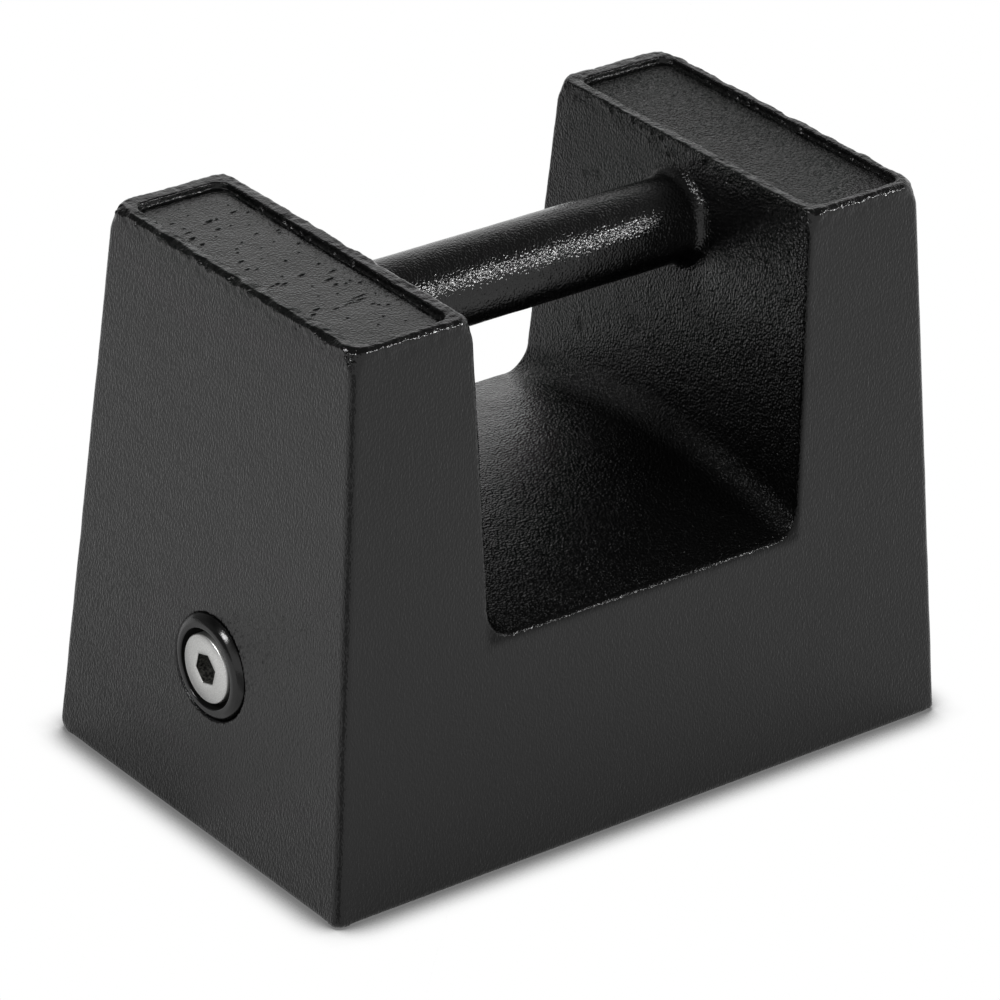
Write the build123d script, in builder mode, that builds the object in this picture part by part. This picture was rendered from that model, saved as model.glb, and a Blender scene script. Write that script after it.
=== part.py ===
# Rectangular calibration test weight: a drafted iron casting with a grip bar between two towers,
# and an adjusting cavity closed by a screw plug in one end.
# Millimetres, +Z up. The origin is the middle of the base, on the surface that the weight stands on.
# X runs along the length and the grip bar. The screw plug is in the -X end.

import os
from math import atan, cos, radians, sin, sqrt, tan

from build123d import *

os.makedirs("parts", exist_ok=True)

# Block, drafted on its four sides so that the pattern draws out of the mould
base_length = 208.0
base_width = 131.2
block_height = 161.3
end_draft = 3.51
side_draft = 3.95
corner_radius = 2.2
base_edge_bevel = 0.6

# Hand recess across the block, with drafted walls and a floor that is crowned across its width
recess_length = 104.8
recess_height = 68.6
recess_draft = 2.47
floor_rise = 1.2
floor_crown_radius = 232.0
floor_fillet = 7.5
recess_edge_radius = 1.0

# Grip bar, cast in one with the towers and kept below their tops
bar_diameter = 24.2
bar_drop = 9.5
bar_root_fillet = 5.0

# Raised rim round each tower top
rim_width = 3.3
rim_depth = 2.0
rim_slope = 45.0
rim_corner_radius = 4.0
top_edge_radius = 1.0

# Screw plug with a hexagon socket, broached over a drilled hole
plug_diameter = 20.0
plug_web = 4.6
plug_chamfer = 0.45
thread_clearance = 0.1
socket_sides = 6
socket_across_flats = 8.0
socket_depth = 9.0
socket_turn = 44.5
drill_point_angle = 118.0

# Turned bush round the plug, with its front face square to the bore
bush_length = 40.0
bush_wall = 4.05
bush_proud = 0.9
bush_bevel = 1.1
bush_mouth_gap = 1.35
bush_mouth_depth = 3.0
bush_clearance = 0.2
bush_seat_width = 3.9

# Adjusting cavity, cored in the casting behind the bush with a bevelled inner end. The core sat a little
# off the middle of the end.
cavity_height = 48.7
cavity_offset = -1.8
cavity_length = 60.0
cavity_end_bevel = 5.0

# Adjusting charge of tamped lead at the inner end of the cavity
charge_length = 20.0
charge_clearance = 0.2

# How far a cutting solid runs past the face that it cuts
cut_margin = 10.0

# Sizes that follow from those above
drill_point_height = socket_across_flats / 2 / tan(radians(drill_point_angle / 2))
plug_length = socket_depth + drill_point_height + plug_web
bush_mouth_diameter = plug_diameter + 2 * bush_mouth_gap
bush_diameter = bush_mouth_diameter + 2 * bush_wall
cavity_diameter = bush_diameter - 2 * bush_seat_width
charge_start = bush_length + cavity_length - charge_clearance - charge_length
bar_height = block_height - bar_drop - bar_diameter / 2


def half_length(z):
    """Half the length of the block at a height."""
    return base_length / 2 - z * tan(radians(end_draft))


def half_width(z):
    """Half the width of the block at a height."""
    return base_width / 2 - z * tan(radians(side_draft))


def half_recess(z):
    """Half the clear length between the towers at a height."""
    return recess_length / 2 + (z - recess_height) * tan(radians(recess_draft))


# The bore's own plane lies on the front of the bush, with its normal into the block
bore_origin_x = -half_length(cavity_height) - bush_proud
bore_origin = (bore_origin_x, cavity_offset, cavity_height)
bore_plane = Plane(origin=bore_origin, x_dir=(0, 1, 0), z_dir=(1, 0, 0))


# Hand recess: a drafted slot across the block that stands on the crowned floor
floor_edge_y = half_width(recess_height)
floor_tilt = atan(floor_rise / (2 * floor_edge_y))
crown_drop = sqrt(floor_crown_radius**2 - floor_edge_y**2 - (floor_rise / 2) ** 2)
crown_axis_y = crown_drop * sin(floor_tilt)
crown_axis_z = recess_height + floor_rise / 2 - crown_drop * cos(floor_tilt)
slot_bottom = recess_height - cut_margin
slot_top = block_height + cut_margin

with BuildPart() as hand_recess:
    with BuildSketch(Plane.XZ):
        with BuildLine():
            Polyline(
                (-half_recess(slot_bottom), slot_bottom),
                (half_recess(slot_bottom), slot_bottom),
                (half_recess(slot_top), slot_top),
                (-half_recess(slot_top), slot_top),
                close=True,
            )
        make_face()
    extrude(amount=base_width / 2 + cut_margin, both=True)
    with BuildSketch(Plane.YZ):
        with Locations((crown_axis_y, crown_axis_z)):
            Circle(floor_crown_radius)
    extrude(amount=base_length / 2, both=True, mode=Mode.SUBTRACT)
    fillet(hand_recess.edges().filter_by(GeomType.ELLIPSE), floor_fillet)


# Cavity: the bore that holds the bush, open through the drafted end, and the cored space behind it
with BuildPart() as cavity:
    with BuildSketch(bore_plane.offset(-cut_margin)):
        Circle(bush_diameter / 2 + bush_clearance)
    extrude(amount=cut_margin + bush_length)
    with BuildSketch(bore_plane.offset(bush_length)):
        Circle(cavity_diameter / 2)
    extrude(amount=cavity_length)
    chamfer(cavity.edges().sort_by(Axis.X)[-1], cavity_end_bevel)


def bounds_recess(edge):
    """True for an edge where the hand recess runs out through a long side of the block."""
    middle = edge.center()
    on_long_side = abs(abs(middle.Y) - half_width(middle.Z)) < recess_edge_radius
    inside_recess = abs(middle.X) < half_recess(middle.Z) + recess_edge_radius
    return on_long_side and inside_recess and 0 < middle.Z < block_height


def bounds_bar(edge):
    """True for the rings where the grip bar runs into the towers."""
    return edge.geom_type == GeomType.ELLIPSE and abs(edge.center().Z - bar_height) < bar_diameter / 2


# Casting: block, towers and grip bar in one
with BuildPart() as cast_body:
    with BuildSketch(Plane.XY):
        Rectangle(base_length, base_width)
    extrude(amount=block_height)
    draft(cast_body.faces().filter_by(Axis.X), Plane.XY, end_draft)
    draft(cast_body.faces().filter_by(Plane.XZ), Plane.XY, side_draft)
    fillet(cast_body.edges().group_by(Axis.Z)[1], corner_radius)
    add(hand_recess.part, mode=Mode.SUBTRACT)
    fillet(cast_body.edges().filter_by(bounds_recess), recess_edge_radius)
    fillet(cast_body.edges().group_by(Axis.Z)[-1], top_edge_radius)
    chamfer(cast_body.edges().group_by(Axis.Z)[0], base_edge_bevel)

    # Grip bar, a little longer than the gap so that it runs into both drafted walls
    with BuildSketch(Plane.YZ):
        with Locations((0, bar_height)):
            Circle(bar_diameter / 2)
    extrude(amount=half_recess(block_height), both=True)
    fillet(cast_body.edges().filter_by(bounds_bar), bar_root_fillet)

    # Sunk face inside the rim of each tower
    tower_middle = (half_length(block_height) + half_recess(block_height)) / 2
    tower_length = half_length(block_height) - half_recess(block_height)
    sunk_length = tower_length - 2 * rim_width
    sunk_width = 2 * (half_width(block_height) - rim_width)
    with BuildSketch(Plane.XY.offset(block_height)):
        with Locations((-tower_middle, 0), (tower_middle, 0)):
            RectangleRounded(sunk_length, sunk_width, rim_corner_radius)
    extrude(amount=-rim_depth, taper=rim_slope, mode=Mode.SUBTRACT)

    add(cavity.part, mode=Mode.SUBTRACT)
cast_body.part.label = "cast_body"
export_step(cast_body.part, "parts/cast_body.step")


# Bush: a turned sleeve with a bevelled front, a mouth round the plug and a threaded bore
with BuildPart() as cavity_bush:
    with BuildSketch(bore_plane):
        Circle(bush_diameter / 2)
    extrude(amount=bush_length)
    chamfer(cavity_bush.edges().sort_by(Axis.X)[0], bush_bevel)
    with BuildSketch(bore_plane):
        Circle(bush_mouth_diameter / 2)
    extrude(amount=bush_mouth_depth, mode=Mode.SUBTRACT)
    with BuildSketch(bore_plane):
        Circle(plug_diameter / 2 + thread_clearance)
    extrude(amount=bush_length, mode=Mode.SUBTRACT)
cavity_bush.part.label = "cavity_bush"
export_step(cavity_bush.part, "parts/cavity_bush.step")


# Screw plug: a threaded cylinder with chamfered ends, its socket ending in the drill's point
with BuildPart() as screw_plug:
    with BuildSketch(bore_plane):
        Circle(plug_diameter / 2)
    extrude(amount=plug_length)
    chamfer(screw_plug.edges().filter_by(GeomType.CIRCLE), plug_chamfer)
    with BuildSketch(bore_plane):
        RegularPolygon(socket_across_flats / 2, socket_sides, major_radius=False, rotation=socket_turn)
    extrude(amount=socket_depth, mode=Mode.SUBTRACT)
    with Locations(bore_plane.offset(socket_depth)):
        Cone(
            bottom_radius=socket_across_flats / 2,
            top_radius=0,
            height=drill_point_height,
            align=(Align.CENTER, Align.CENTER, Align.MIN),
            mode=Mode.SUBTRACT,
        )
screw_plug.part.label = "screw_plug"
export_step(screw_plug.part, "parts/screw_plug.step")


# Adjusting charge: lead tamped into the bevelled inner end of the cavity
with BuildPart() as adjusting_charge:
    with BuildSketch(bore_plane.offset(charge_start)):
        Circle(cavity_diameter / 2 - charge_clearance)
    extrude(amount=charge_length)
    chamfer(adjusting_charge.edges().sort_by(Axis.X)[-1], cavity_end_bevel)
adjusting_charge.part.label = "adjusting_charge"
export_step(adjusting_charge.part, "parts/adjusting_charge.step")
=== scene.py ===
# Rectangular calibration test weight: a sand casting in black enamel, a turned bush and a bright
# screw plug, on a plain white studio floor. Metres in the scene, millimetres in the sizes below.
# +Z is up, +X runs along the grip bar, and the screw plug is in the -X end.

import math

import bpy
import numpy as np
from mathutils import Matrix, Vector, noise


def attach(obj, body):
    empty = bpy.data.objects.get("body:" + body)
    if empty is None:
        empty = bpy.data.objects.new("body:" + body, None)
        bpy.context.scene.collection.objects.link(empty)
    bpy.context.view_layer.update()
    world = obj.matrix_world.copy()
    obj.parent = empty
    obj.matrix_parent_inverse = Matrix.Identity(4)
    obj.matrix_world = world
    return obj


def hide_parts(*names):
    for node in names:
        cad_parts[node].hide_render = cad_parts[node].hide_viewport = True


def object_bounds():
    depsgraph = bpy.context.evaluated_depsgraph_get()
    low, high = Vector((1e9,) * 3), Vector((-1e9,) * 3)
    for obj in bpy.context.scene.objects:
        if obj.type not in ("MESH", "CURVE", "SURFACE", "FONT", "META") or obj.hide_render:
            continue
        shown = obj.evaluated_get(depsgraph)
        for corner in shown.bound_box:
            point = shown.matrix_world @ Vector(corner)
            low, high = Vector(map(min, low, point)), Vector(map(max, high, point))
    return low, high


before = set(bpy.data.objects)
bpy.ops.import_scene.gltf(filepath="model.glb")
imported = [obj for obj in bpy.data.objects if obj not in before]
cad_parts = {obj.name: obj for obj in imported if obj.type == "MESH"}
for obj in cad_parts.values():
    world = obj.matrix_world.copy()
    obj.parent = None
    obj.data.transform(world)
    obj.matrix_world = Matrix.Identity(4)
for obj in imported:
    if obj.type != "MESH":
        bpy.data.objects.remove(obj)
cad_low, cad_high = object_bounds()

MM = 0.001

# Casting
base_length = 208.0
base_width = 131.2
block_height = 161.3
end_draft = math.radians(3.51)
side_draft = math.radians(3.95)
corner_radius = 2.2
tower_corner_radius = 6.0
tower_corner_rise = 7.0
corner_flare_power = 1.3
inner_corner_radius = 4.5
base_edge_radius = 0.8
knocked_corner = 1.2
knocked_corner_radius = 2.5

# Hand recess and grip bar
recess_length = 104.8
recess_height = 68.6
recess_draft = math.radians(2.47)
recess_edge_radius = 1.0
floor_rise = 1.2
floor_crown_radius = 232.0
floor_fillet = 7.5
bar_radius = 12.1
bar_height = 139.7
bar_root_fillet = 3.6

# Rims round the tower tops, wider on the near tower and at the back
rim_width = 3.3
near_end_rim_width = 3.9
near_inner_rim_width = 4.7
back_rim_width = 4.5
rim_depth = 1.8
rim_lean = math.radians(14)
rim_bevel = 1.1
rim_edge_radius = 0.4
ragged_edge_radius = 0.18
rim_inner_radius = 0.35
sunk_face_fillet = 0.35
sunk_corner_radius = 4.0

# Bore, bush and plug, which share one axis along X, a little off the middle of the end. The mouth of
# the bore is cut wider on the right, and tighter on the left and below.
bore_offset = -1.8
bore_height = 48.7
bore_radius = 15.45
bore_shoulder = -61.91
bore_edge_radius = 0.12
right_mouth_gap = 1.1
left_mouth_gap = -1.05
lower_mouth_gap = -0.55
hidden_bore_start = -101.3
cavity_radius = 11.5
cavity_end = -1.91
bush_front = -101.91
bush_radius = 15.4
bush_mouth_radius = 11.35
bush_mouth_depth = 3.0
bush_bore_radius = 10.1
plug_radius = 9.75
plug_rear = -85.91
plug_chamfer = 0.4
broken_edge = 0.2
socket_flat_radius = 4.0
socket_depth = 9.0
socket_cone_depth = 2.4
socket_turn = math.radians(44.5)


# Small helpers

def linear_colour(hex_code):
    """Linear RGBA of an sRGB hex colour."""
    channels = [int(hex_code[i:i + 2], 16) / 255 for i in (0, 2, 4)]
    linear = [c / 12.92 if c <= 0.04045 else ((c + 0.055) / 1.055) ** 2.4 for c in channels]
    return (*linear, 1.0)


def lumps(size_mm):
    """Scale of a noise whose lumps are this big."""
    return 1 / (size_mm * MM)


def add_node(tree, kind, inputs=None, **settings):
    """Adds a shader node. Each input is a value, or the output of another node to link."""
    node = tree.nodes.new(kind)
    for name, value in settings.items():
        setattr(node, name, value)
    for key, value in (inputs or {}).items():
        if isinstance(value, bpy.types.NodeSocket):
            tree.links.new(value, node.inputs[key])
        else:
            node.inputs[key].default_value = value
    return node


def new_material(name):
    """An empty material, its node tree and its output node."""
    material = bpy.data.materials.new(name)
    material.use_nodes = True
    tree = material.node_tree
    tree.nodes.clear()
    return material, tree, tree.nodes.new("ShaderNodeOutputMaterial")


def mesh_piece(name, points_mm, faces, material):
    """A smooth-shaded mesh object from points in millimetres."""
    mesh = bpy.data.meshes.new(name)
    mesh.from_pydata((np.asarray(points_mm) * MM).tolist(), [], faces)
    mesh.validate()
    mesh.shade_smooth()
    mesh.materials.append(material)
    piece = bpy.data.objects.new(name, mesh)
    bpy.context.scene.collection.objects.link(piece)
    return piece


# Materials

def enamelled_casting():
    """Black alkyd enamel brushed on a sand casting.

    The enamel is nearly black and glossy, so that what the eye sees is the white room in it, broken
    up by the grain of the sand. The outer faces are filled and smoother than the hand recess.
    """
    material, tree, output = new_material("enamelled_casting")
    place = add_node(tree, "ShaderNodeTexCoord").outputs["Object"]
    upright = add_node(tree, "ShaderNodeMapping", {"Vector": place, "Scale": (1.0, 1.0, 0.5)})
    finish_and_shade = add_node(tree, "ShaderNodeAttribute", attribute_name="finish_and_shade")
    regions = add_node(tree, "ShaderNodeSeparateColor", {"Color": finish_and_shade.outputs["Color"]})

    # Orange peel of the brushed enamel, drawn out downwards as it ran
    peel = add_node(tree, "ShaderNodeTexNoise", {
        "Vector": upright.outputs["Vector"], "Scale": lumps(0.5), "Detail": 0.6,
    })
    peel_bump = add_node(tree, "ShaderNodeBump", {
        "Height": peel.outputs["Fac"],
        "Strength": regions.outputs["Green"],
        "Distance": 0.26 * MM,
    })
    # Sand grain where the casting is as it came from the mould. The real grain is about 0.3 mm, and
    # is drawn at 0.65 mm, so that its facets show.
    sand = add_node(tree, "ShaderNodeTexNoise", {
        "Vector": place, "Scale": lumps(0.65), "Detail": 0.8,
    })
    sand_bump = add_node(tree, "ShaderNodeBump", {
        "Height": sand.outputs["Fac"],
        "Strength": regions.outputs["Red"],
        "Distance": 0.52 * MM,
        "Normal": peel_bump.outputs["Normal"],
    })
    glossy = add_node(tree, "ShaderNodeBsdfPrincipled", {
        "Base Color": linear_colour("050505"),
        "Roughness": 0.12,
        "IOR": 1.4,
        "Normal": sand_bump.outputs["Normal"],
    })
    # A duller, darker copy of the enamel, which is painted shade: it darkens the hand recess, the far
    # tower's sunk face and the rims' inner slopes
    dull_painted_shade = add_node(tree, "ShaderNodeBsdfPrincipled", {
        "Base Color": linear_colour("040404"),
        "Roughness": 0.14,
        "IOR": 1.4,
        "Specular IOR Level": 0.22,
        "Normal": sand_bump.outputs["Normal"],
    })
    mixed = add_node(tree, "ShaderNodeMixShader", {
        0: regions.outputs["Blue"], 1: glossy.outputs["BSDF"], 2: dull_painted_shade.outputs["BSDF"],
    })
    tree.links.new(mixed.outputs["Shader"], output.inputs["Surface"])
    return material


def enamelled_bush():
    """The same enamel, thin over a turned steel face: smooth, with a faint grain.

    The ring round the plug is drawn dull and black, as painted shade in the gap round the plug.
    """
    material, tree, output = new_material("enamelled_bush")
    place = add_node(tree, "ShaderNodeTexCoord").outputs["Object"]
    faint = add_node(tree, "ShaderNodeTexNoise", {"Vector": place, "Scale": lumps(0.6)})
    bump = add_node(tree, "ShaderNodeBump", {
        "Height": faint.outputs["Fac"],
        "Strength": 0.5,
        "Distance": 0.06 * MM,
    })
    enamel = add_node(tree, "ShaderNodeBsdfPrincipled", {
        "Base Color": linear_colour("050505"),
        "Roughness": 0.16,
        "IOR": 1.45,
        "Normal": bump.outputs["Normal"],
    })
    # Painted shade for the ring round the plug: a dull, nearly black coat
    mouth_shade = add_node(tree, "ShaderNodeBsdfPrincipled", {
        "Base Color": linear_colour("0a0a09"),
        "Roughness": 0.9,
        "Specular IOR Level": 0.1,
    })
    finish_and_shade = add_node(tree, "ShaderNodeAttribute", attribute_name="finish_and_shade")
    regions = add_node(tree, "ShaderNodeSeparateColor", {"Color": finish_and_shade.outputs["Color"]})
    mixed = add_node(tree, "ShaderNodeMixShader", {
        0: regions.outputs["Red"], 1: enamel.outputs["BSDF"], 2: mouth_shade.outputs["BSDF"],
    })
    tree.links.new(mixed.outputs["Shader"], output.inputs["Surface"])
    return material


def turned_steel():
    """Bare carbon steel, faced on a lathe and dulled: pale grey with a fine even grain.

    The socket was broached, and is drawn nearly black inside, mottled lighter in places, as painted
    shade of its depth.
    """
    material, tree, output = new_material("turned_steel")
    place = add_node(tree, "ShaderNodeTexCoord").outputs["Object"]
    fine = add_node(tree, "ShaderNodeTexNoise", {"Vector": place, "Scale": lumps(0.35)})
    colour = add_node(tree, "ShaderNodeValToRGB", {"Fac": fine.outputs["Fac"]})
    colour.color_ramp.elements[0].position = 0.3
    colour.color_ramp.elements[0].color = linear_colour("bbbbb9")
    colour.color_ramp.elements[1].position = 0.7
    colour.color_ramp.elements[1].color = linear_colour("d6d6d4")
    bump = add_node(tree, "ShaderNodeBump", {
        "Height": fine.outputs["Fac"], "Strength": 0.5, "Distance": 0.04 * MM,
    })
    steel = add_node(tree, "ShaderNodeBsdfPrincipled", {
        "Base Color": colour.outputs["Color"],
        "Metallic": 1.0,
        "Roughness": 0.38,
        "Normal": bump.outputs["Normal"],
    })
    # Painted shade inside the socket: a nearly black coat, mottled lighter in places
    socket_mottle = add_node(tree, "ShaderNodeTexNoise", {"Vector": place, "Scale": lumps(0.7)})
    socket_shade_bump = add_node(tree, "ShaderNodeBump", {
        "Height": socket_mottle.outputs["Fac"], "Strength": 0.8, "Distance": 0.2 * MM,
    })
    socket_shade_colour = add_node(tree, "ShaderNodeValToRGB", {"Fac": socket_mottle.outputs["Fac"]})
    socket_shade_colour.color_ramp.elements[0].position = 0.4
    socket_shade_colour.color_ramp.elements[0].color = linear_colour("0c0c0b")
    socket_shade_colour.color_ramp.elements[1].position = 0.68
    socket_shade_colour.color_ramp.elements[1].color = linear_colour("4c4c48")
    socket_shade = add_node(tree, "ShaderNodeBsdfPrincipled", {
        "Base Color": socket_shade_colour.outputs["Color"],
        "Roughness": 0.35,
        "IOR": 1.42,
        "Normal": socket_shade_bump.outputs["Normal"],
    })
    finish_and_shade = add_node(tree, "ShaderNodeAttribute", attribute_name="finish_and_shade")
    regions = add_node(tree, "ShaderNodeSeparateColor", {"Color": finish_and_shade.outputs["Color"]})
    mixed = add_node(tree, "ShaderNodeMixShader", {
        0: regions.outputs["Red"], 1: steel.outputs["BSDF"], 2: socket_shade.outputs["BSDF"],
    })
    tree.links.new(mixed.outputs["Shader"], output.inputs["Surface"])
    return material


def tamped_lead():
    """Lead, tamped into the cavity: dull blue-grey and dented."""
    material, tree, output = new_material("tamped_lead")
    place = add_node(tree, "ShaderNodeTexCoord").outputs["Object"]
    dents = add_node(tree, "ShaderNodeTexNoise", {"Vector": place, "Scale": lumps(3.0)})
    bump = add_node(tree, "ShaderNodeBump", {
        "Height": dents.outputs["Fac"],
        "Strength": 0.6,
        "Distance": 0.4 * MM,
    })
    shader = add_node(tree, "ShaderNodeBsdfPrincipled", {
        "Base Color": linear_colour("5c5e63"),
        "Metallic": 1.0,
        "Roughness": 0.55,
        "Normal": bump.outputs["Normal"],
    })
    tree.links.new(shader.outputs["BSDF"], output.inputs["Surface"])
    return material


# Form of the casting, as signed distances in millimetres: below zero inside the iron

def smooth_step(value, low, high):
    """0 below low, 1 above high, and a smooth rise between them."""
    share = np.clip((value - low) / (high - low), 0, 1)
    return share * share * (3 - 2 * share)


def rounded_max(a, b, radius):
    """The larger of two distances, with the edge between their faces rounded."""
    corner = np.hypot(np.maximum(a + radius, 0), np.maximum(b + radius, 0))
    return np.minimum(np.maximum(a, b), -radius) + corner


def rounded_min(a, b, radius):
    """The smaller of two distances, with the corner between their faces filleted."""
    return -rounded_max(-a, -b, radius)


floor_edge_y = base_width / 2 - recess_height * math.tan(side_draft)
floor_tilt = math.atan(floor_rise / (2 * floor_edge_y))
crown_drop = math.sqrt(floor_crown_radius**2 - floor_edge_y**2 - (floor_rise / 2) ** 2)
crown_axis_y = crown_drop * math.sin(floor_tilt)
crown_axis_z = recess_height + floor_rise / 2 - crown_drop * math.cos(floor_tilt)
tower_outer = base_length / 2 - block_height * math.tan(end_draft)
tower_inner = recess_length / 2 + (block_height - recess_height) * math.tan(recess_draft)
tower_side = base_width / 2 - block_height * math.tan(side_draft)
tower_middle = (tower_outer + tower_inner) / 2


def end_distance(x, z):
    """Distance from the drafted end faces."""
    return (abs(x) - base_length / 2) * math.cos(end_draft) + z * math.sin(end_draft)


def side_distance(y, z):
    """Distance from the drafted long sides."""
    return (abs(y) - base_width / 2) * math.cos(side_draft) + z * math.sin(side_draft)


def wall_distance(x, z):
    """Distance from the drafted walls of the hand recess, below zero in the open recess."""
    wall = abs(x) - recess_length / 2
    return wall * math.cos(recess_draft) - (z - recess_height) * math.sin(recess_draft)


def rim_inset(x, y):
    """How far a point lies outside the sunk face of its tower, measured along the top."""
    end_width = np.where(x < 0, near_end_rim_width, rim_width)
    inner_width = np.where(x < 0, near_inner_rim_width, rim_width)
    along = np.maximum(abs(x) - tower_outer + end_width, tower_inner + inner_width - abs(x))
    across = np.maximum(y - tower_side + back_rim_width, rim_width - tower_side - y)
    return rounded_max(along, across, sunk_corner_radius)


def wobble(along, phase):
    """A slow unevenness from -1 to 1 along an edge, as a hand that dresses the mould leaves it."""
    slow = np.sin(along / 3.7 + phase) + np.sin(along / 2.1 + 2.3 * phase)
    return (slow + 0.7 * np.sin(along / 1.15 + 3.1 * phase)) / 2.7


def in_bore(points):
    """True inside the bore and the cavity, which the bush hides."""
    x, y, z = points.T
    from_axis = np.hypot(y - bore_offset, z - bore_height)
    return (from_axis < bore_radius + 0.05) & (x > hidden_bore_start) & (x < 0)


def rim_bevel_size(x, y, on_end, over_recess):
    """Width of the bevel on the rims' edges.

    It is ragged along the two ends, and narrow at the back and on the far tower's edge over the bar.
    """
    on_side = 1 - on_end
    ragged = on_end * (0.1 + 0.5 * wobble(y, 1.0))
    size = rim_bevel * (1 + ragged + 0.15 * on_side * wobble(x, 2.0))
    size *= 1 - 0.65 * on_side * smooth_step(y, -5, 5) * (1 - over_recess)
    return size * (1 - 0.7 * over_recess * (x > 0))


def mouth_gap(y, z, from_axis):
    """How much wider the bore's mouth is than the bore: below zero where enamel closes the gap."""
    rightwards = (0.42 * (z - bore_height) - 0.91 * (y - bore_offset)) / np.maximum(from_axis, 1)
    downwards = (bore_height - z) / np.maximum(from_axis, 1)
    gap = right_mouth_gap * smooth_step(rightwards, 0.3, 0.95)
    gap += left_mouth_gap * smooth_step(-rightwards, -0.3, 0.5)
    return gap + lower_mouth_gap * smooth_step(downwards, 0.5, 1.0)


def casting_distance(x, y, z):
    """Distance from the surface of the casting, below zero inside it."""
    # The upright corners are tight below and flare out where they reach the tower tops
    rise = np.clip((z - block_height + tower_corner_rise) / tower_corner_rise, 0, 1)
    flare = rise**corner_flare_power
    radius = corner_radius + (tower_corner_radius - corner_radius) * flare
    ends, sides = end_distance(x, z), side_distance(y, z)
    block = rounded_max(ends, sides, radius)

    # Hand recess: drafted walls on a crowned floor
    floor = floor_crown_radius - np.hypot(y - crown_axis_y, z - crown_axis_z)
    recess = rounded_max(wall_distance(x, z), floor, floor_fillet)
    edge_radius = recess_edge_radius + (inner_corner_radius - recess_edge_radius) * flare
    iron = rounded_max(block, -recess, edge_radius)

    # Edges of the rims and of the base
    top = z - block_height
    on_end = smooth_step(ends - sides, -1.0, 1.0)
    over_recess = smooth_step(-recess - block, -1.0, 1.0)
    bevel = (iron + top + rim_bevel_size(x, y, on_end, over_recess)) * math.sqrt(0.5)
    bevel_radius = rim_edge_radius - (rim_edge_radius - ragged_edge_radius) * on_end
    iron = rounded_max(np.maximum(iron, top), bevel, bevel_radius)
    iron = rounded_max(iron, -z, base_edge_radius)

    # The near end's back corner, which stands on the floor, is knocked round
    from_corner = (y - x) / 2 - z * math.sqrt(0.5) - (base_length + base_width) / 4
    iron = rounded_max(iron, from_corner + knocked_corner, knocked_corner_radius)

    # Grip bar, which ends inside the towers
    bar = np.maximum(np.hypot(y, z - bar_height) - bar_radius, abs(x) - tower_middle)
    iron = rounded_min(iron, bar, bar_root_fillet)

    # Sunk face inside the sloping rim of each tower
    depth = block_height - z
    slopes = rim_inset(x, y) * math.cos(rim_lean) + depth * math.sin(rim_lean)
    sunk = rounded_max(slopes, depth - rim_depth, sunk_face_fillet)
    iron = rounded_max(iron, -sunk, rim_inner_radius)

    # Bore for the bush and the cored cavity behind it
    from_axis = np.hypot(y - bore_offset, z - bore_height)
    bore = np.maximum(from_axis - bore_radius - mouth_gap(y, z, from_axis), x - bore_shoulder)
    cavity = np.maximum(from_axis - cavity_radius, x - cavity_end)
    return rounded_max(iron, -np.minimum(bore, cavity), bore_edge_radius)


def casting_slope(points):
    """Outward unit normals of the casting at points near its surface."""
    step = 0.02
    normals = np.empty_like(points)
    for axis in range(3):
        shift = np.zeros(3)
        shift[axis] = step
        outside = casting_distance(*(points + shift).T)
        normals[:, axis] = outside - casting_distance(*(points - shift).T)
    return normals / np.maximum(np.linalg.norm(normals, axis=1, keepdims=True), 1e-9)


def onto_casting(points, rounds=3):
    """Points moved to the surface of the casting."""
    for _ in range(rounds):
        points = points - casting_slope(points) * casting_distance(*points.T)[:, None]
    return points


def surface_net(xs, ys, zs, field):
    """Quads over the zero surface of a field on a grid: one point for each cell that it crosses."""
    grid = np.meshgrid(xs, ys, zs, indexing="ij")
    cells = tuple(n - 1 for n in field.shape)
    total = np.zeros((*cells, 3))
    count = np.zeros(cells)
    crossings = []
    for axis in range(3):
        low = [slice(None)] * 3
        high = [slice(None)] * 3
        low[axis], high[axis] = slice(None, -1), slice(1, None)
        a, b = field[tuple(low)], field[tuple(high)]
        crossed = (a < 0) != (b < 0)
        share = np.where(crossed, a / np.where(crossed, a - b, 1), 0)
        place = np.stack([
            g[tuple(low)] + share * (g[tuple(high)] - g[tuple(low)]) for g in grid
        ], axis=-1)
        place *= crossed[..., None]
        crossings.append((crossed, a < 0))
        others = [other for other in range(3) if other != axis]
        for first in (0, 1):
            for second in (0, 1):
                part = [slice(None)] * 3
                part[others[0]] = slice(first, cells[others[0]] + first)
                part[others[1]] = slice(second, cells[others[1]] + second)
                total += place[tuple(part)]
                count += crossed[tuple(part)]
    active = count > 0
    index = np.full(cells, -1)
    index[active] = np.arange(active.sum())
    points = total[active] / count[active][:, None]

    quads = []
    for axis, (crossed, starts_inside) in enumerate(crossings):
        u, v = (axis + 1) % 3, (axis + 2) % 3
        at = np.argwhere(crossed)
        at = at[(at[:, u] > 0) & (at[:, v] > 0) & (at[:, u] < cells[u]) & (at[:, v] < cells[v])]
        corners = []
        for du, dv in ((1, 1), (0, 1), (0, 0), (1, 0)):
            cell = at.copy()
            cell[:, u] -= du
            cell[:, v] -= dv
            corners.append(index[tuple(cell.T)])
        quad = np.stack(corners, axis=1)
        outward = starts_inside[tuple(at.T)]
        quads.append(np.where(outward[:, None], quad, quad[:, ::-1]))
    return points, np.concatenate(quads)


def cut_quads(points, quads):
    """Two triangles for each quad, cut along its shorter diagonal."""
    first = np.linalg.norm(points[quads[:, 0]] - points[quads[:, 2]], axis=1)
    second = np.linalg.norm(points[quads[:, 1]] - points[quads[:, 3]], axis=1)
    turned = np.where((first <= second)[:, None], quads, np.roll(quads, 1, axis=1))
    return np.concatenate([turned[:, [0, 1, 2]], turned[:, [0, 2, 3]]])


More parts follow.
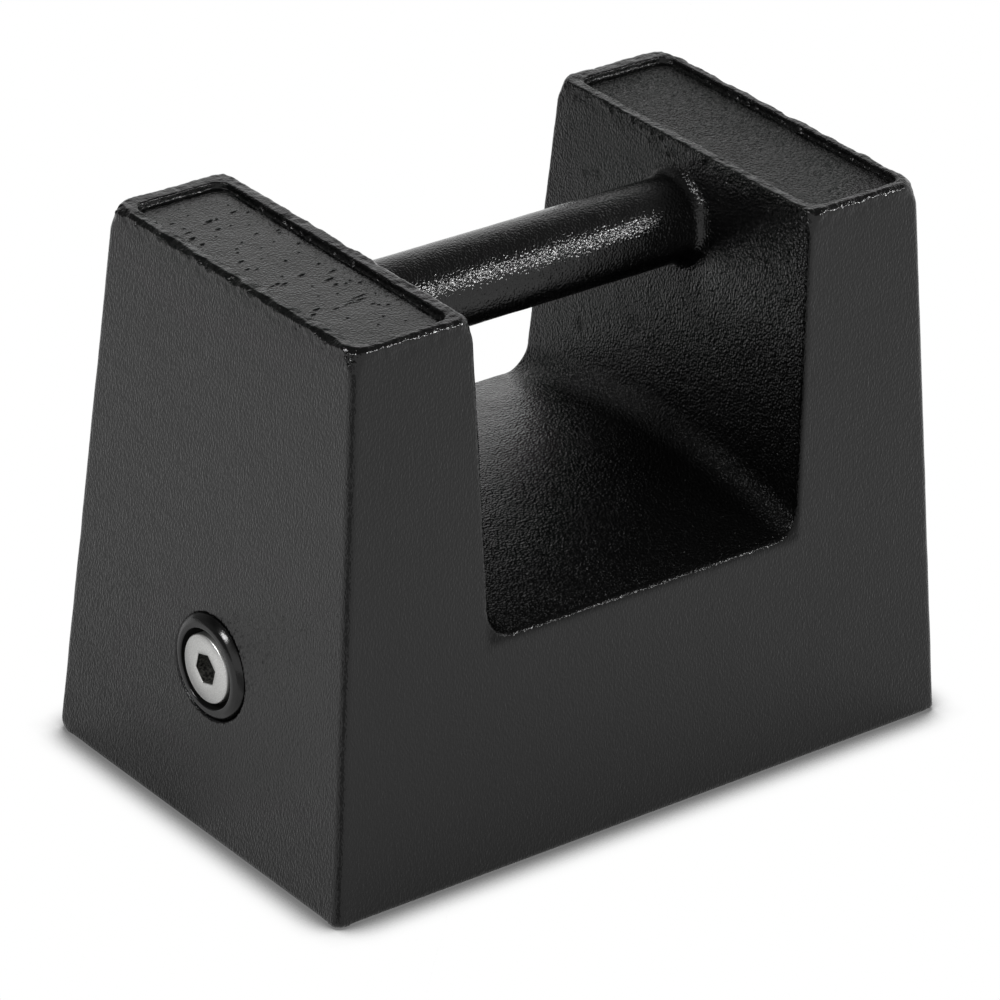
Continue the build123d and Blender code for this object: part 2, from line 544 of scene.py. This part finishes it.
def triangle_edges(triangles):
    """Each edge once, and for each triangle the edges opposite its three corners."""
    sides = [triangles[:, [1, 2]], triangles[:, [2, 0]], triangles[:, [0, 1]]]
    pairs = np.sort(np.concatenate(sides), axis=1)
    key = pairs[:, 0] * (pairs.max() + 1) + pairs[:, 1]
    _, first, inverse = np.unique(key, return_index=True, return_inverse=True)
    return pairs[first], inverse.reshape(3, -1).T


# Scars in the near tower's sunk face: place, length along X, width and depth
near_scars = (
    (-77.1, 33.2, 3.2, 1.3, 0.50), (-74.5, 33.4, 1.0, 1.0, 0.40), (-77.8, 28.0, 2.2, 0.9, 0.40),
    (-68.4, 34.5, 2.8, 0.8, 0.35), (-85.9, 37.6, 2.0, 0.7, 0.35), (-85.0, 33.3, 1.2, 0.7, 0.35),
    (-85.6, 30.6, 4.0, 0.6, 0.30), (-86.8, 27.0, 2.6, 1.4, 0.45), (-86.7, 22.6, 2.2, 1.3, 0.35),
    (-65.1, 32.3, 1.2, 0.8, 0.30), (-71.1, 20.2, 1.6, 0.7, 0.30), (-65.1, 18.8, 1.8, 0.7, 0.35),
    (-65.6, 17.3, 1.2, 0.6, 0.35), (-77.2, 18.0, 0.9, 0.7, 0.35), (-80.6, 15.5, 1.1, 0.7, 0.35),
    (-81.7, 13.6, 1.1, 0.7, 0.35), (-74.4, 2.5, 1.2, 0.9, 0.45), (-83.5, 2.4, 1.4, 0.7, 0.35),
    (-80.5, -4.6, 1.2, 0.7, 0.35), (-84.2, -7.6, 2.0, 0.9, 0.45), (-82.7, -8.6, 2.4, 0.9, 0.45),
    (-86.2, -8.1, 3.0, 0.6, 0.30), (-84.3, 8.4, 2.4, 0.9, 0.40), (-85.8, 3.6, 2.0, 0.9, 0.35),
    (-80.9, 24.5, 1.0, 0.7, 0.30), (-65.5, 9.0, 1.3, 0.8, 0.40), (-68.6, 4.5, 1.0, 0.7, 0.35),
    (-68.3, -3.8, 1.6, 0.8, 0.40), (-68.0, -9.4, 2.6, 0.7, 0.45), (-71.5, -12.9, 4.0, 1.1, 0.40),
    (-71.9, -16.3, 1.7, 1.0, 0.50), (-76.0, -6.8, 3.2, 1.1, 0.35), (-67.5, -16.5, 1.0, 0.8, 0.45),
    (-69.3, -17.2, 1.0, 0.8, 0.45), (-66.0, -18.8, 2.0, 0.7, 0.35), (-71.4, -25.4, 5.4, 0.7, 0.50),
    (-72.0, -27.0, 3.6, 0.8, 0.45), (-76.1, -27.4, 3.4, 0.7, 0.40), (-70.7, -30.9, 1.7, 0.7, 0.45),
    (-69.8, -32.2, 1.3, 0.7, 0.40), (-67.9, -33.5, 1.5, 0.8, 0.45), (-81.2, -34.2, 1.5, 0.7, 0.30),
    (-72.9, -38.3, 1.0, 0.8, 0.35), (-63.9, -32.5, 1.5, 0.7, 0.30), (-84.9, -25.6, 3.4, 1.0, 0.35),
    (-87.3, -27.6, 2.6, 1.0, 0.35), (-80.3, -28.0, 3.0, 0.8, 0.25), (-73.6, 28.2, 0.7, 0.6, 0.30),
    (-69.5, 25.8, 0.8, 0.6, 0.30), (-75.0, 12.4, 0.7, 0.6, 0.30), (-70.1, 13.6, 0.8, 0.6, 0.30),
    (-78.8, 6.9, 0.8, 0.6, 0.30), (-66.9, 38.9, 0.9, 0.6, 0.30), (-79.3, 39.6, 1.0, 0.6, 0.25),
    (-77.5, -13.6, 0.8, 0.6, 0.30), (-74.6, -20.9, 0.9, 0.6, 0.30), (-79.6, -19.4, 0.8, 0.6, 0.30),
    (-76.8, -41.5, 1.0, 0.7, 0.30), (-69.7, -43.6, 0.9, 0.7, 0.30), (-66.4, -26.2, 0.8, 0.6, 0.30),
)


# Longest edges of the mesh by region. On the towers the near one's comes first, then the far one's.
plain_edge = 6.0
underside_edge = 9.0
recess_edge = 2.4
bar_edge = 1.0
top_edges = 0.8, 1.6
rim_edges = 0.5, 0.75
scar_edge = 0.35
ragged_edge = 0.38
hidden_edge = 8.0
mouth_edge = 1.0


def wanted_length(points):
    """Longest edge allowed at each point, from how closely the place is looked at."""
    x, y, z = points.T
    wanted = np.full(len(points), plain_edge)
    wanted[z < 0.5] = underside_edge
    in_recess = (wall_distance(x, z) < 1.5) & (z > recess_height - 3)
    wanted[in_recess] = recess_edge
    from_bar = np.hypot(y, z - bar_height) - bar_radius
    wanted[(abs(x) < tower_inner + 1) & (from_bar < bar_root_fillet + 1)] = bar_edge
    on_top = (z > block_height - 4) & (abs(x) > tower_inner - 1)
    wanted[on_top] = np.where(x < 0, *top_edges)[on_top]
    on_rim = on_top & (rim_inset(x, y) > -2.0)
    wanted[on_rim] = np.where(x < 0, *rim_edges)[on_rim]
    on_face = on_top & (x < 0) & (z < block_height - 1.5) & (rim_inset(x, y) < 0)
    for place_x, place_y, length, width, _ in near_scars:
        on_scar = (abs(x - place_x) < 0.8 * length) & (abs(y - place_y) < width)
        wanted[on_face & on_scar] = scar_edge
    wanted[(z > block_height - 2.8) & (end_distance(x, z) > -0.4) & (x < 0)] = ragged_edge
    wanted[in_bore(points)] = hidden_edge
    from_bore = np.hypot(y - bore_offset, z - bore_height) - bore_radius
    wanted[(from_bore > -1) & (from_bore < 2.2) & (end_distance(x, z) > -1.4)] = mouth_edge
    return wanted


# Where the surface bends more than this between an edge's two ends, the edge is halved down to these
# lengths: on the near tower's top, on the far tower's top, where nothing is seen, and elsewhere
bend_limit = 0.03
near_top_bend_edge = 0.4
far_top_bend_edge = 0.6
hidden_bend_edge = 2.2
plain_bend_edge = 1.0


def refine(points, triangles):
    """Halves the edges that are longer than their region or their bend allows, longest side first."""
    for _ in range(16):
        edges, opposite = triangle_edges(triangles)
        a, b = points[edges[:, 0]], points[edges[:, 1]]
        length = np.linalg.norm(a - b, axis=1)
        normals = casting_slope(points)
        bend = 1 - (normals[edges[:, 0]] * normals[edges[:, 1]]).sum(1)
        middle = (a + b) / 2
        top_bend_edge = np.where(middle[:, 0] < 0, near_top_bend_edge, far_top_bend_edge)
        shortest = np.where(middle[:, 2] > block_height - 6, top_bend_edge, plain_bend_edge)
        shortest[in_bore(middle) | (middle[:, 2] < 2)] = hidden_bend_edge
        bent = (bend > bend_limit) & (length > shortest)
        marked = (length > wanted_length(middle)) | bent
        if not marked.any():
            break
        longest = np.argmax(length[opposite], axis=1)
        longest_edge = opposite[np.arange(len(triangles)), longest]
        while True:
            need = marked[opposite].any(1) & ~marked[longest_edge]
            if not need.any():
                break
            marked[longest_edge[need]] = True
        number = np.full(len(edges), -1)
        number[marked] = len(points) + np.arange(marked.sum())
        points = np.concatenate([points, onto_casting(middle[marked])])

        # Each triangle is turned so that its longest edge lies opposite its first corner
        turn = (longest[:, None] + np.arange(3)) % 3
        p, q, r = np.take_along_axis(triangles, turn, 1).T
        m, right, left = number[np.take_along_axis(opposite, turn, 1)].T
        whole, has_right, has_left = m < 0, right >= 0, left >= 0
        parts = []
        for mask, corners in (
            (whole, (p, q, r)),
            (~whole & ~has_left, (p, q, m)),
            (~whole & has_left, (p, left, m)),
            (~whole & has_left, (left, q, m)),
            (~whole & ~has_right, (p, m, r)),
            (~whole & has_right, (p, m, right)),
            (~whole & has_right, (right, m, r)),
        ):
            parts.append(np.stack(corners, axis=1)[mask])
        triangles = np.concatenate(parts)
    return points, triangles


def ease(points, triangles):
    """Evens out the triangles: each point moves along the surface towards its neighbours' middle."""
    edges, _ = triangle_edges(triangles)
    count = np.bincount(edges.ravel(), minlength=len(points))[:, None]
    for _ in range(2):
        middle = np.zeros_like(points)
        for axis in range(3):
            middle[:, axis] += np.bincount(edges[:, 0], points[edges[:, 1], axis], len(points))
            middle[:, axis] += np.bincount(edges[:, 1], points[edges[:, 0], axis], len(points))
        points = onto_casting(points + 0.4 * (middle / count - points), 2)
    return points


def casting_net():
    """Points and triangles of the plain casting, finest round the rims and along the bar."""
    margin, cell, top_cell = 3.0, 3.1, 1.4
    xs = np.arange(-base_length / 2 - margin, base_length / 2 + margin + cell, cell)
    ys = np.arange(-base_width / 2 - margin, base_width / 2 + margin + cell, cell)
    rims_from = block_height - 6
    zs = np.concatenate([
        np.arange(-margin, rims_from, cell), np.arange(rims_from, block_height + margin, top_cell),
    ])
    field = casting_distance(*np.meshgrid(xs, ys, zs, indexing="ij"))
    points, quads = surface_net(xs, ys, zs, field)
    triangles = cut_quads(points, quads)
    points = ease(onto_casting(points, 4), triangles)
    points, triangles = refine(points, triangles)
    return ease(points, triangles), triangles


# Marks that the foundry and the years left, as heights in millimetres along the surface's normal

def ripple(points, feature_mm, seed, stretch=(1, 1, 1)):
    """Smooth noise from about -1 to 1, with lumps of a real size, at each point."""
    offset = np.array((seed * 17.3, seed * 5.1, seed * 9.7))
    places = points / (feature_mm * np.array(stretch)) + offset
    return np.array([noise.noise(Vector(place)) for place in places.tolist()])


# Beads along the top of the near end: place along Y, distance below the top and radius
end_beads = (
    (52.0, 1.9, 0.50), (42.6, 2.0, 0.60), (31.5, 1.8, 0.85), (21.4, 1.6, 0.75), (18.2, 1.8, 0.75),
    (13.3, 1.6, 0.80), (9.6, 1.9, 0.90), (-1.2, 1.6, 0.50), (-9.0, 1.5, 1.10), (-20.1, 1.8, 0.60),
    (-31.2, 1.9, 0.50), (-41.8, 2.0, 0.60), (-50.9, 3.0, 0.90), (-52.3, 4.6, 0.90),
    (-53.2, 3.6, 0.80),
)

# Pits in the far tower's wall: place along Y and Z, radius and depth
far_pits = (
    (36.9, 92.3, 1.5, 0.5), (14.9, 102.3, 1.4, 0.5), (12.2, 101.2, 1.0, 0.4),
    (39.3, 138.0, 1.2, 0.5), (5.4, 156.0, 1.0, 0.6), (34.0, 139.5, 0.8, 0.4),
)


def hollow(across, along):
    """A shallow dish, 1 at its middle and 0 at its edge, with a low lip outside it."""
    away = np.hypot(across, along)
    return smooth_step(1 - away, 0, 0.75) - 0.22 * np.exp(-((away - 1.15) / 0.18) ** 2)


def cast_relief(points, normals):
    """Height of the cast surface's unevenness at each point of the plain casting."""
    x, y, z = points.T
    nx, _, nz = normals.T
    upright = 1 - smooth_step(abs(nz), 0.3, 0.7)
    on_tower = smooth_step(z, block_height - 6, block_height - 3) * (abs(x) > tower_inner - 6)
    on_rim = on_tower * smooth_step(rim_inset(x, y), -2.0, -0.8)
    in_recess = (wall_distance(x, z) < 0.8) & (z > recess_height - 3)
    on_bar = (abs(x) < tower_inner) & (np.hypot(y, z - bar_height) < bar_radius + 1.5)

    height = 0.10 * ripple(points, 16.0, 1) + 0.05 * ripple(points, 6.0, 2)
    height += np.where(in_recess & ~on_bar, 0.10 * ripple(points, 4.5, 3), 0)
    height += np.where(on_bar, 0.025 * ripple(points, 3.2, 4, (2.0, 1, 1)), 0)

    # Lumpy rims
    bumps = 0.20 * ripple(points, 5.0, 5) + 0.16 * ripple(points, 2.2, 6)
    bumps += 0.08 * ripple(points, 1.1, 7)
    height += on_rim * (bumps - 0.08)
    height += (1 - on_rim) * on_tower * upright * 0.06 * ripple(points, 1.6, 8)

    # Beads of sand that burnt on along the lower edge of the end's bevel
    on_end = (nx < -0.5) & (z > block_height - 6)
    for place_y, drop, radius in end_beads:
        near = on_end & (abs(y - place_y) < radius)
        away = np.hypot(y[near] - place_y, z[near] - block_height + drop) / radius
        height[near] += 0.6 * radius * np.sqrt(np.clip(1 - away**2, 0, 1))

    # Scoop below the near corner, where the rim runs out into the upright edge
    scoop_x = (x + tower_outer + 1.2) / 3.4
    scoop_y = (y + tower_side + 1.4) / 3.6
    scoop_z = (z - block_height + 3.4) / 3.6
    from_scoop = np.sqrt(scoop_x**2 + scoop_y**2 + scoop_z**2)
    height -= 1.1 * smooth_step(1 - from_scoop, 0, 0.7)

    # Scars and pits
    facing_up = nz > 0.8
    for place_x, place_y, length, width, depth in near_scars:
        near = facing_up & (abs(x - place_x) < length) & (abs(y - place_y) < 2 * width + 0.5)
        slant = (y[near] - place_y - 0.15 * (x[near] - place_x)) / (width / 2)
        height[near] -= depth * hollow((x[near] - place_x) / (length / 2), slant)
    facing_back = nx < -0.8
    for place_y, place_z, radius, depth in far_pits:
        near = facing_back & (x > 0) & (np.hypot(y - place_y, z - place_z) < 1.6 * radius)
        height[near] -= depth * hollow((y[near] - place_y) / radius, (z[near] - place_z) / radius)
    return height


def corner_normals(points, triangles):
    """Unit normals at the points, each triangle weighted by its angle there."""
    sides = points[np.roll(triangles, -1, axis=1)] - points[triangles]
    sides /= np.maximum(np.linalg.norm(sides, axis=2, keepdims=True), 1e-9)
    turned = np.cross(sides, -np.roll(sides, 1, axis=1))
    angle = np.arccos(np.clip((sides * -np.roll(sides, 1, axis=1)).sum(2), -1, 1))
    turned *= (angle / np.maximum(np.linalg.norm(turned, axis=2), 1e-9))[..., None]
    normals = np.zeros_like(points)
    for axis in range(3):
        normals[:, axis] = np.bincount(triangles.ravel(), turned[..., axis].ravel(), len(points))
    return normals / np.maximum(np.linalg.norm(normals, axis=1, keepdims=True), 1e-9)


def casting_finish_and_shade(points, normals):
    """How the enamel lies at each point of the plain casting.

    Red is the strength of the sand grain, green that of the orange peel, and blue the dullness,
    which is painted shade that darkens the recess, the far tower's sunk face and the rims' inner
    slopes. The recess has the full grain, apart from its outer edges, which were dressed. The bar
    was dressed too, and so were the tops, the near one more than the far one.
    """
    x, y, z = points.T
    facing_up = smooth_step(normals[:, 2], 0.5, 0.9)
    in_recess = smooth_step(-wall_distance(x, z), -1.2, 0.4)
    in_recess = in_recess * smooth_step(z, recess_height - 3, recess_height)
    on_bar = (np.hypot(y, z - bar_height) < bar_radius + 2) & (abs(x) < tower_inner)
    on_end = smooth_step(abs(normals[:, 0]), 0.5, 0.9) * (1 - in_recess)
    on_tower = (z > block_height - 8) * (abs(x) > tower_inner - 2)
    on_top = facing_up * on_tower
    inset = rim_inset(x, y)
    on_flat = smooth_step(inset, -0.2, 0.4) * on_top
    on_slope = smooth_step(inset, -2.2, -1.2) * smooth_step(-inset, -1.0, -0.2) * on_tower

    sand = np.where(on_bar, 0.4, 1.0) * in_recess * (1 - on_top)
    sand *= 1 - 0.8 * smooth_step(side_distance(y, z), -1.8, -0.6)
    sand += np.where(x < 0, 0.17, 0.8) * on_top * (1 - 0.6 * on_flat) + 0.12 * on_slope
    peel = (0.75 + 0.25 * on_end) * (1 - 0.4 * on_top) * np.where(on_bar, 0.5, 1.0)

    # Painted shade: the enamel is dulled and darkened in the recess, but not on the bar, high on the
    # front of the walls or at the back of the floor. It is also dulled on the far tower's sunk face
    # and on the rims' inner slopes.
    upper_front = smooth_step(z, 112, 128) * smooth_step(-y, 4, 18)
    floor_back = facing_up * smooth_step(y, -20, 35) * (1 - smooth_step(z, 100, 110))
    dull_painted_shade = in_recess * (1 - upper_front) * (1 - floor_back) * ~on_bar * (1 - on_flat)
    dull_painted_shade += 0.9 * (on_top - on_flat) * (x > 0) + 0.6 * on_slope
    return np.stack((np.clip(sand, 0, 1), peel, np.clip(dull_painted_shade, 0, 1), np.ones(len(points))), axis=1)


def casting_pieces(material):
    """The casting with the unevenness of its mould, its lumpy rims and its scars.

    It is one casting in two meshes, cut just below the tower tops so that neither gets heavy.
    """
    points, triangles = casting_net()
    normals = casting_slope(points)
    z = points[:, 2]
    height = cast_relief(points, normals)
    height *= smooth_step(z, 0.4, 2.0) * ~in_bore(points)
    relieved = points + normals * height[:, None]
    relieved = np.clip(relieved, np.array(cad_low) / MM, np.array(cad_high) / MM)
    shading = corner_normals(relieved, triangles)
    colours = casting_finish_and_shade(points, normals)

    pieces = []
    upper = z[triangles].mean(1) > block_height - 9
    for name, chosen in (("casting", ~upper), ("tower_tops", upper)):
        used, own = np.unique(triangles[chosen], return_inverse=True)
        piece = mesh_piece(name, relieved[used], own.reshape(-1, 3).tolist(), material)
        piece.data.normals_split_custom_set_from_vertices(shading[used].tolist())
        finish_and_shade = piece.data.color_attributes.new("finish_and_shade", "FLOAT_COLOR", "POINT")
        finish_and_shade.data.foreach_set("color", colours[used].ravel())
        pieces.append(piece)
    return pieces


# Turned pieces

ring_points = 144


def turned_piece(name, profile, material, radius_at=None):
    """Rings of quads round the bore's axis.

    The profile is a list of (x, radius). A radius below zero is that share of radius_at's own radius
    at each angle.
    """
    points = []
    for x, radius in profile:
        for step in range(ring_points):
            angle = 2 * math.pi * step / ring_points
            r = radius if radius >= 0 else -radius * radius_at(angle)
            points.append((x, bore_offset + r * math.cos(angle), bore_height + r * math.sin(angle)))
    faces = []
    for ring in range(len(profile)):
        here = ring * ring_points
        after = (ring + 1) % len(profile) * ring_points
        for step in range(ring_points):
            right = (step + 1) % ring_points
            faces.append((here + step, here + right, after + right, after + step))
    return mesh_piece(name, points, faces, material)


def paint_rings(piece, first, last):
    """Sets the red of finish_and_shade, which picks the painted shade, to 1 on the rings from first
    up to last, and to 0 on the others.
    """
    finish_and_shade = piece.data.color_attributes.new("finish_and_shade", "FLOAT_COLOR", "POINT")
    colours = np.zeros((len(piece.data.vertices), 4))
    colours[first * ring_points:last * ring_points, 0] = 1
    finish_and_shade.data.foreach_set("color", colours.ravel())


def bush_piece(material):
    """The bush: a sleeve with a two-step bevel in front, a broken inner edge and a stepped bore."""
    front, rear = bush_front, bore_shoulder
    profile = [
        (rear, bush_radius),
        (front + 2.4, bush_radius),
        (front + 1.9, bush_radius - 0.3),
        (front + 1.55, bush_radius - 0.55),
        (front + 0.65, bush_radius - 1.35),
        (front + 0.5, bush_radius - 1.55),
        (front + 0.08, bush_radius - 2.45),
        (front, bush_radius - 2.7),
        (front, bush_mouth_radius + broken_edge + 0.1),
        (front + 0.05, bush_mouth_radius + broken_edge),
        (front + broken_edge, bush_mouth_radius),
        (front + broken_edge + 0.1, bush_mouth_radius - 0.01),
        (front + bush_mouth_depth, bush_mouth_radius),
        (front + bush_mouth_depth, bush_bore_radius),
        (rear, bush_bore_radius),
    ]
    piece = turned_piece("bush", profile, material)
    # The rings inside the mouth take the painted shade
    first_shaded_ring = 11
    paint_rings(piece, first_shaded_ring, len(profile) - 1)
    return piece


def hexagon_radius(angle):
    """Radius of the socket's outline at an angle round the axis."""
    turn = (angle - socket_turn) % (math.pi / 3)
    return socket_flat_radius / math.cos(turn - math.pi / 6)


def plug_piece(material):
    """The plug: a chamfered disc face, a hexagon socket with a drilled cone behind it and a shank."""
    front, rear = bush_front, plug_rear
    # A hair-thin tube along the axis closes the mesh
    hair = 0.02
    profile = [
        (front + socket_depth + socket_cone_depth, hair),
        (front + socket_depth, -0.98),
        (front + socket_depth, -1.0),
        (front + broken_edge + 0.15, -1.0),
        (front + broken_edge, -1.0),
        (front, -1.05),
        (front, 5.2),
        (front, plug_radius - plug_chamfer),
        (front + plug_chamfer, plug_radius),
        (rear - plug_chamfer, plug_radius),
        (rear, plug_radius - plug_chamfer),
        (rear, hair),
    ]
    piece = turned_piece("plug", profile, material, hexagon_radius)
    # The socket's rings take the painted shade
    socket_rings = 4
    paint_rings(piece, 0, socket_rings)
    return piece


# Stage

def stage_floor():
    """A white floor with a painted contact shadow where the weight is near."""
    material, tree, output = new_material("white_floor")
    # Painted contact shadow: the floor's white is darkened by the occlusion close to the weight
    near = add_node(tree, "ShaderNodeAmbientOcclusion", {"Distance": 0.0125}, samples=16)
    contact = add_node(tree, "ShaderNodeMapRange", {
        "Value": near.outputs["AO"],
        "From Min": 0.5, "From Max": 0.97, "To Min": 0.18, "To Max": 1.0,
    }, interpolation_type="SMOOTHSTEP")

    # In a reflection the floor also carries a wider painted shade towards the weight, and painted
    # shade in sectors off its near corner and behind its plug's end
    wide = add_node(tree, "ShaderNodeAmbientOcclusion", {"Distance": 0.2}, samples=4)
    falloff = add_node(tree, "ShaderNodeMapRange", {
        "Value": wide.outputs["AO"],
        "From Min": 0.5, "From Max": 0.95, "To Min": 0.4, "To Max": 1.0,
    })
    place = add_node(tree, "ShaderNodeTexCoord").outputs["Object"]
    mirrored = falloff.outputs["Result"]
    near_corner = (-base_length / 2 * MM, -base_width / 2 * MM, 0.0)
    middle_of_end = (-base_length / 2 * MM, 0.0, 0.0)
    for start, towards, low, high, dimmed in (
        (near_corner, (-0.78, -0.62, 0.0), 0.80, 0.97, 0.45),
        (middle_of_end, (-0.26, 0.966, 0.0), 0.885, 0.955, 0.75),
    ):
        away = add_node(tree, "ShaderNodeVectorMath", {0: place, 1: start}, operation="SUBTRACT")
        outward = add_node(tree, "ShaderNodeVectorMath", {
            0: away.outputs["Vector"],
        }, operation="NORMALIZE")
        share = add_node(tree, "ShaderNodeVectorMath", {
            0: outward.outputs["Vector"], 1: towards,
        }, operation="DOT_PRODUCT")
        dim = add_node(tree, "ShaderNodeMapRange", {
            "Value": share.outputs["Value"],
            "From Min": low, "From Max": high, "To Min": 1.0, "To Max": dimmed,
        }, interpolation_type="SMOOTHSTEP")
        product = add_node(tree, "ShaderNodeMath", {
            0: mirrored, 1: dim.outputs["Result"],
        }, operation="MULTIPLY")
        mirrored = product.outputs[0]

    # The camera and reflections see the floor's own white, with the painted shadows above. It takes
    # the lamps' light only for the light that it throws back on the weight.
    rays = add_node(tree, "ShaderNodeLightPath")
    brightness = add_node(tree, "ShaderNodeMix", {
        0: rays.outputs["Is Camera Ray"], 2: mirrored, 3: contact.outputs["Result"],
    }, data_type="FLOAT")
    seen = add_node(tree, "ShaderNodeMath", {
        0: rays.outputs["Is Camera Ray"], 1: rays.outputs["Is Glossy Ray"],
    }, operation="MAXIMUM")
    seen = add_node(tree, "ShaderNodeMath", {
        0: seen.outputs[0], 1: rays.outputs["Is Transmission Ray"],
    }, operation="MAXIMUM")
    matt = add_node(tree, "ShaderNodeBsdfDiffuse", {"Color": linear_colour("e6e6e6")})
    white = add_node(tree, "ShaderNodeEmission", {
        "Color": linear_colour("ffffff"), "Strength": brightness.outputs[0],
    })
    mixed = add_node(tree, "ShaderNodeMixShader", {
        0: seen.outputs[0], 1: matt.outputs["BSDF"], 2: white.outputs["Emission"],
    })
    tree.links.new(mixed.outputs["Shader"], output.inputs["Surface"])
    half_side = 6000.0
    corners = [
        (-half_side, -half_side, 0), (half_side, -half_side, 0),
        (half_side, half_side, 0), (-half_side, half_side, 0),
    ]
    floor = mesh_piece("floor", corners, [(0, 1, 2, 3)], material)


def studio_world():
    """A white room with a dim ceiling, which the enamel mirrors, and plain white behind it all."""
    world = bpy.data.worlds.new("studio")
    bpy.context.scene.world = world
    world.use_nodes = True
    tree = world.node_tree
    tree.nodes.clear()
    rays = add_node(tree, "ShaderNodeLightPath")
    direction = add_node(tree, "ShaderNodeTexCoord").outputs["Generated"]
    height = add_node(tree, "ShaderNodeSeparateXYZ", {"Vector": direction})
    ceiling = add_node(tree, "ShaderNodeMapRange", {
        "Value": height.outputs["Z"],
        "From Min": 0.33, "From Max": 0.8, "To Min": 1.0, "To Max": 0.18,
    }, interpolation_type="SMOOTHSTEP")
    # No wall on the back left: the studio is dark there
    back_left = add_node(tree, "ShaderNodeVectorMath", {
        0: direction, 1: (-0.707, 0.707, 0.0),
    }, operation="DOT_PRODUCT")
    open_side = add_node(tree, "ShaderNodeMapRange", {
        "Value": back_left.outputs["Value"],
        "From Min": 0.45, "From Max": 0.75, "To Min": 1.0, "To Max": 0.2,
    }, interpolation_type="SMOOTHSTEP")
    walls = add_node(tree, "ShaderNodeMath", {
        0: ceiling.outputs["Result"], 1: open_side.outputs["Result"],
    }, operation="MULTIPLY")
    mirrored = add_node(tree, "ShaderNodeMath", {
        0: rays.outputs["Is Glossy Ray"], 1: rays.outputs["Is Transmission Ray"],
    }, operation="MAXIMUM")
    ambient = 0.7
    strength = add_node(tree, "ShaderNodeMix", {
        0: mirrored.outputs[0], 2: ambient, 3: walls.outputs[0],
    }, data_type="FLOAT")
    strength = add_node(tree, "ShaderNodeMix", {
        0: rays.outputs["Is Camera Ray"], 2: strength.outputs[0], 3: 1.0,
    }, data_type="FLOAT")
    background = add_node(tree, "ShaderNodeBackground", {
        "Color": linear_colour("ffffff"), "Strength": strength.outputs[0],
    })
    output = add_node(tree, "ShaderNodeOutputWorld", {"Surface": background.outputs["Background"]})
    output.is_active_output = True


def softbox(name, direction, distance, size, radiance):
    """A square soft lamp that looks at the middle of the weight."""
    lamp = bpy.data.lights.new(name, "AREA")
    lamp.shape = "SQUARE"
    lamp.size = size
    lamp.energy = math.pi * size * size * radiance
    box = bpy.data.objects.new(name, lamp)
    bpy.context.scene.collection.objects.link(box)
    middle = Vector((0, 0, block_height / 2 * MM))
    towards = Vector(direction).normalized()
    box.location = middle + towards * distance
    box.rotation_euler = towards.to_track_quat("Z", "Y").to_euler()
    box.visible_camera = False


def studio_lamps():
    """A small bright key to the front right and a larger, weaker lamp over the plug's end."""
    softbox("key", direction=(0.57, -0.69, 0.46), distance=2.2, size=0.34, radiance=56.0)
    softbox("end_lamp", direction=(-0.75, 0.05, 0.66), distance=2.0, size=0.45, radiance=24.0)


def studio_camera():
    """The camera at the photograph's viewing angle, fitted to the corners of the weight."""
    azimuth, elevation, roll = math.radians(-38.394), math.radians(27.567), math.radians(1.930)
    camera = bpy.data.cameras.new("camera")
    camera.sensor_width = 36.0
    camera.lens = 213.3
    holder = bpy.data.objects.new("camera", camera)
    bpy.context.scene.collection.objects.link(holder)
    eye = (-0.8938, -1.1247, 0.8185)
    back = Vector((
        math.sin(azimuth) * math.cos(elevation),
        -math.cos(azimuth) * math.cos(elevation),
        math.sin(elevation),
    ))
    right = Vector((0, 0, 1)).cross(back).normalized()
    up = back.cross(right)
    rolled_right = right * math.cos(roll) + up * math.sin(roll)
    rolled_up = up * math.cos(roll) - right * math.sin(roll)
    turn = Matrix((rolled_right, rolled_up, back)).transposed().to_4x4()
    holder.matrix_world = Matrix.Translation(eye) @ turn
    bpy.context.scene.camera = holder
    bpy.context.scene.view_settings.view_transform = "Standard"


# The weight and its stage

casting, tower_tops = casting_pieces(enamelled_casting())
bush = bush_piece(enamelled_bush())
plug = plug_piece(turned_steel())
for piece, node, slot in (
    (casting, "cast_body", "painted_casting"),
    (tower_tops, "cast_body", "painted_casting"),
    (bush, "cavity_bush", "painted_bush"),
    (plug, "screw_plug", "turned_steel"),
):
    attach(piece, "root")
    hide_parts(node)
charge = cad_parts["adjusting_charge"]
charge.data.materials.clear()
charge.data.materials.append(tamped_lead())

stage_floor()
studio_world()
studio_lamps()
studio_camera()
